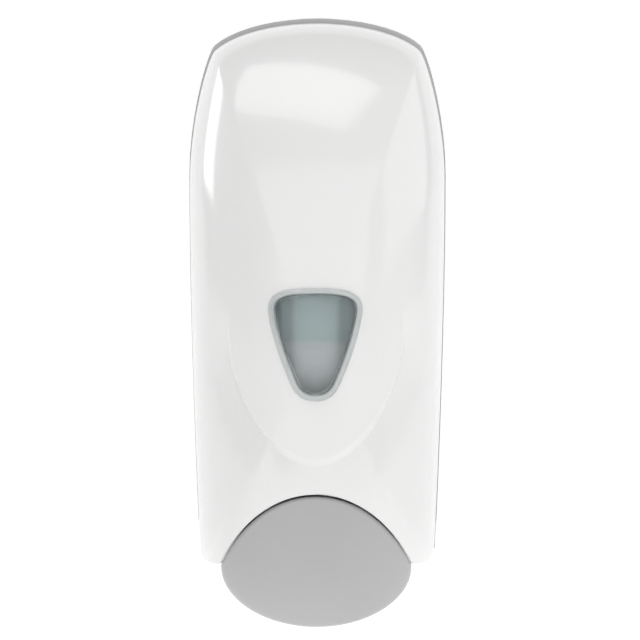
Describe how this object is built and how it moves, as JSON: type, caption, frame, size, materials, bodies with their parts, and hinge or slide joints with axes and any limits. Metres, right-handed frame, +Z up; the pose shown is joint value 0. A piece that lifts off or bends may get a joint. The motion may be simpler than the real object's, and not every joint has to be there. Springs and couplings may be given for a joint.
{
  "type": "wall mounted soap dispenser",
  "caption": "Wall mounted push-lever soap dispenser with a hinged domed cover, clear sight window, refillable bottle and lift pump.",
  "frame": {"origin": "on the rear face of the back plate, on the dispenser's mid-line and halfway up its height", "axes": "+Z up, +Y into the wall, +X to the right of someone who faces the dispenser, so the front faces -Y"},
  "size_m": [0.122, 0.1173, 0.284],
  "materials": {
    "white_cover": "glossy off-white moulded plastic",
    "grey_shell": "fine satin grey moulded plastic",
    "grey_lever": "semi-gloss light grey moulded plastic",
    "black_plastic": "glass-filled black plastic",
    "natural_plastic": "natural milky plastic",
    "frosted_bottle": "frosted translucent blow-moulded plastic",
    "clear_lens": "clear glossy plastic",
    "seal_rubber": "soft seal rubber",
    "steel": "plain bright steel"
  },
  "bodies": {
    "housing": {"back_plate": "grey_shell", "reservoir_shelf": "grey_shell", "shelf_screw_left": "steel", "shelf_screw_right": "steel", "hinge_pin_left": "steel", "hinge_pin_right": "steel", "lock_sleeve": "steel", "lock_nut": "steel", "reservoir_bottle": "frosted_bottle", "pump_collar": "natural_plastic", "pump_gasket": "seal_rubber", "pump_cylinder": "natural_plastic", "inlet_valve": "seal_rubber", "cylinder_cap": "natural_plastic", "pump_spring": "steel"},
    "cover": {"front_cover": "white_cover", "window_lens": "clear_lens", "lever_pivot_pin": "steel", "pivot_clip_left": "steel", "pivot_clip_right": "steel"},
    "lever": {"push_lever": "grey_lever", "lever_yoke": "black_plastic", "yoke_screw_left": "steel", "yoke_screw_right": "steel"},
    "pump_head": {"pump_nozzle": "natural_plastic", "pump_stem": "natural_plastic", "piston": "natural_plastic", "piston_seal": "seal_rubber", "outlet_valve": "seal_rubber"},
    "lock": {"lock_barrel": "steel", "lock_cam": "steel", "cam_screw": "steel"},
    "filler": {"fill_cap": "natural_plastic", "cap_seal": "seal_rubber"}
  },
  "joints": [
    {"name": "cover_hinge", "type": "hinge", "parent": "housing", "child": "cover", "pos_m": [0, -0.02, -0.105], "axis": [1, 0, 0], "range_deg": [0, 90]},
    {"name": "lever_pivot", "type": "hinge", "parent": "cover", "child": "lever", "pos_m": [0, -0.086, -0.07224], "axis": [1, 0, 0], "range_deg": [0, 14], "stiffness_Nm_per_rad": 0.4, "springref_deg": -14.32},
    {"name": "pump_lift", "type": "slide", "parent": "housing", "child": "pump_head", "axis": [0, 0, 1], "range_m": [0, 0.00889], "deforming": ["pump_spring"]},
    {"name": "lock_turn", "type": "hinge", "parent": "housing", "child": "lock", "pos_m": [0, -0.012, 0.13], "axis": [0, 0, 1], "range_deg": [0, 90]},
    {"name": "fill_cap_turn", "type": "hinge", "parent": "housing", "child": "filler", "pos_m": [0, -0.05, 0.1], "axis": [0, 0, 1], "continuous": true}
  ],
  "couplings": [
    {"joint": "lever_pivot", "follows": "pump_lift", "rad_per_m": 27.47}
  ]
}
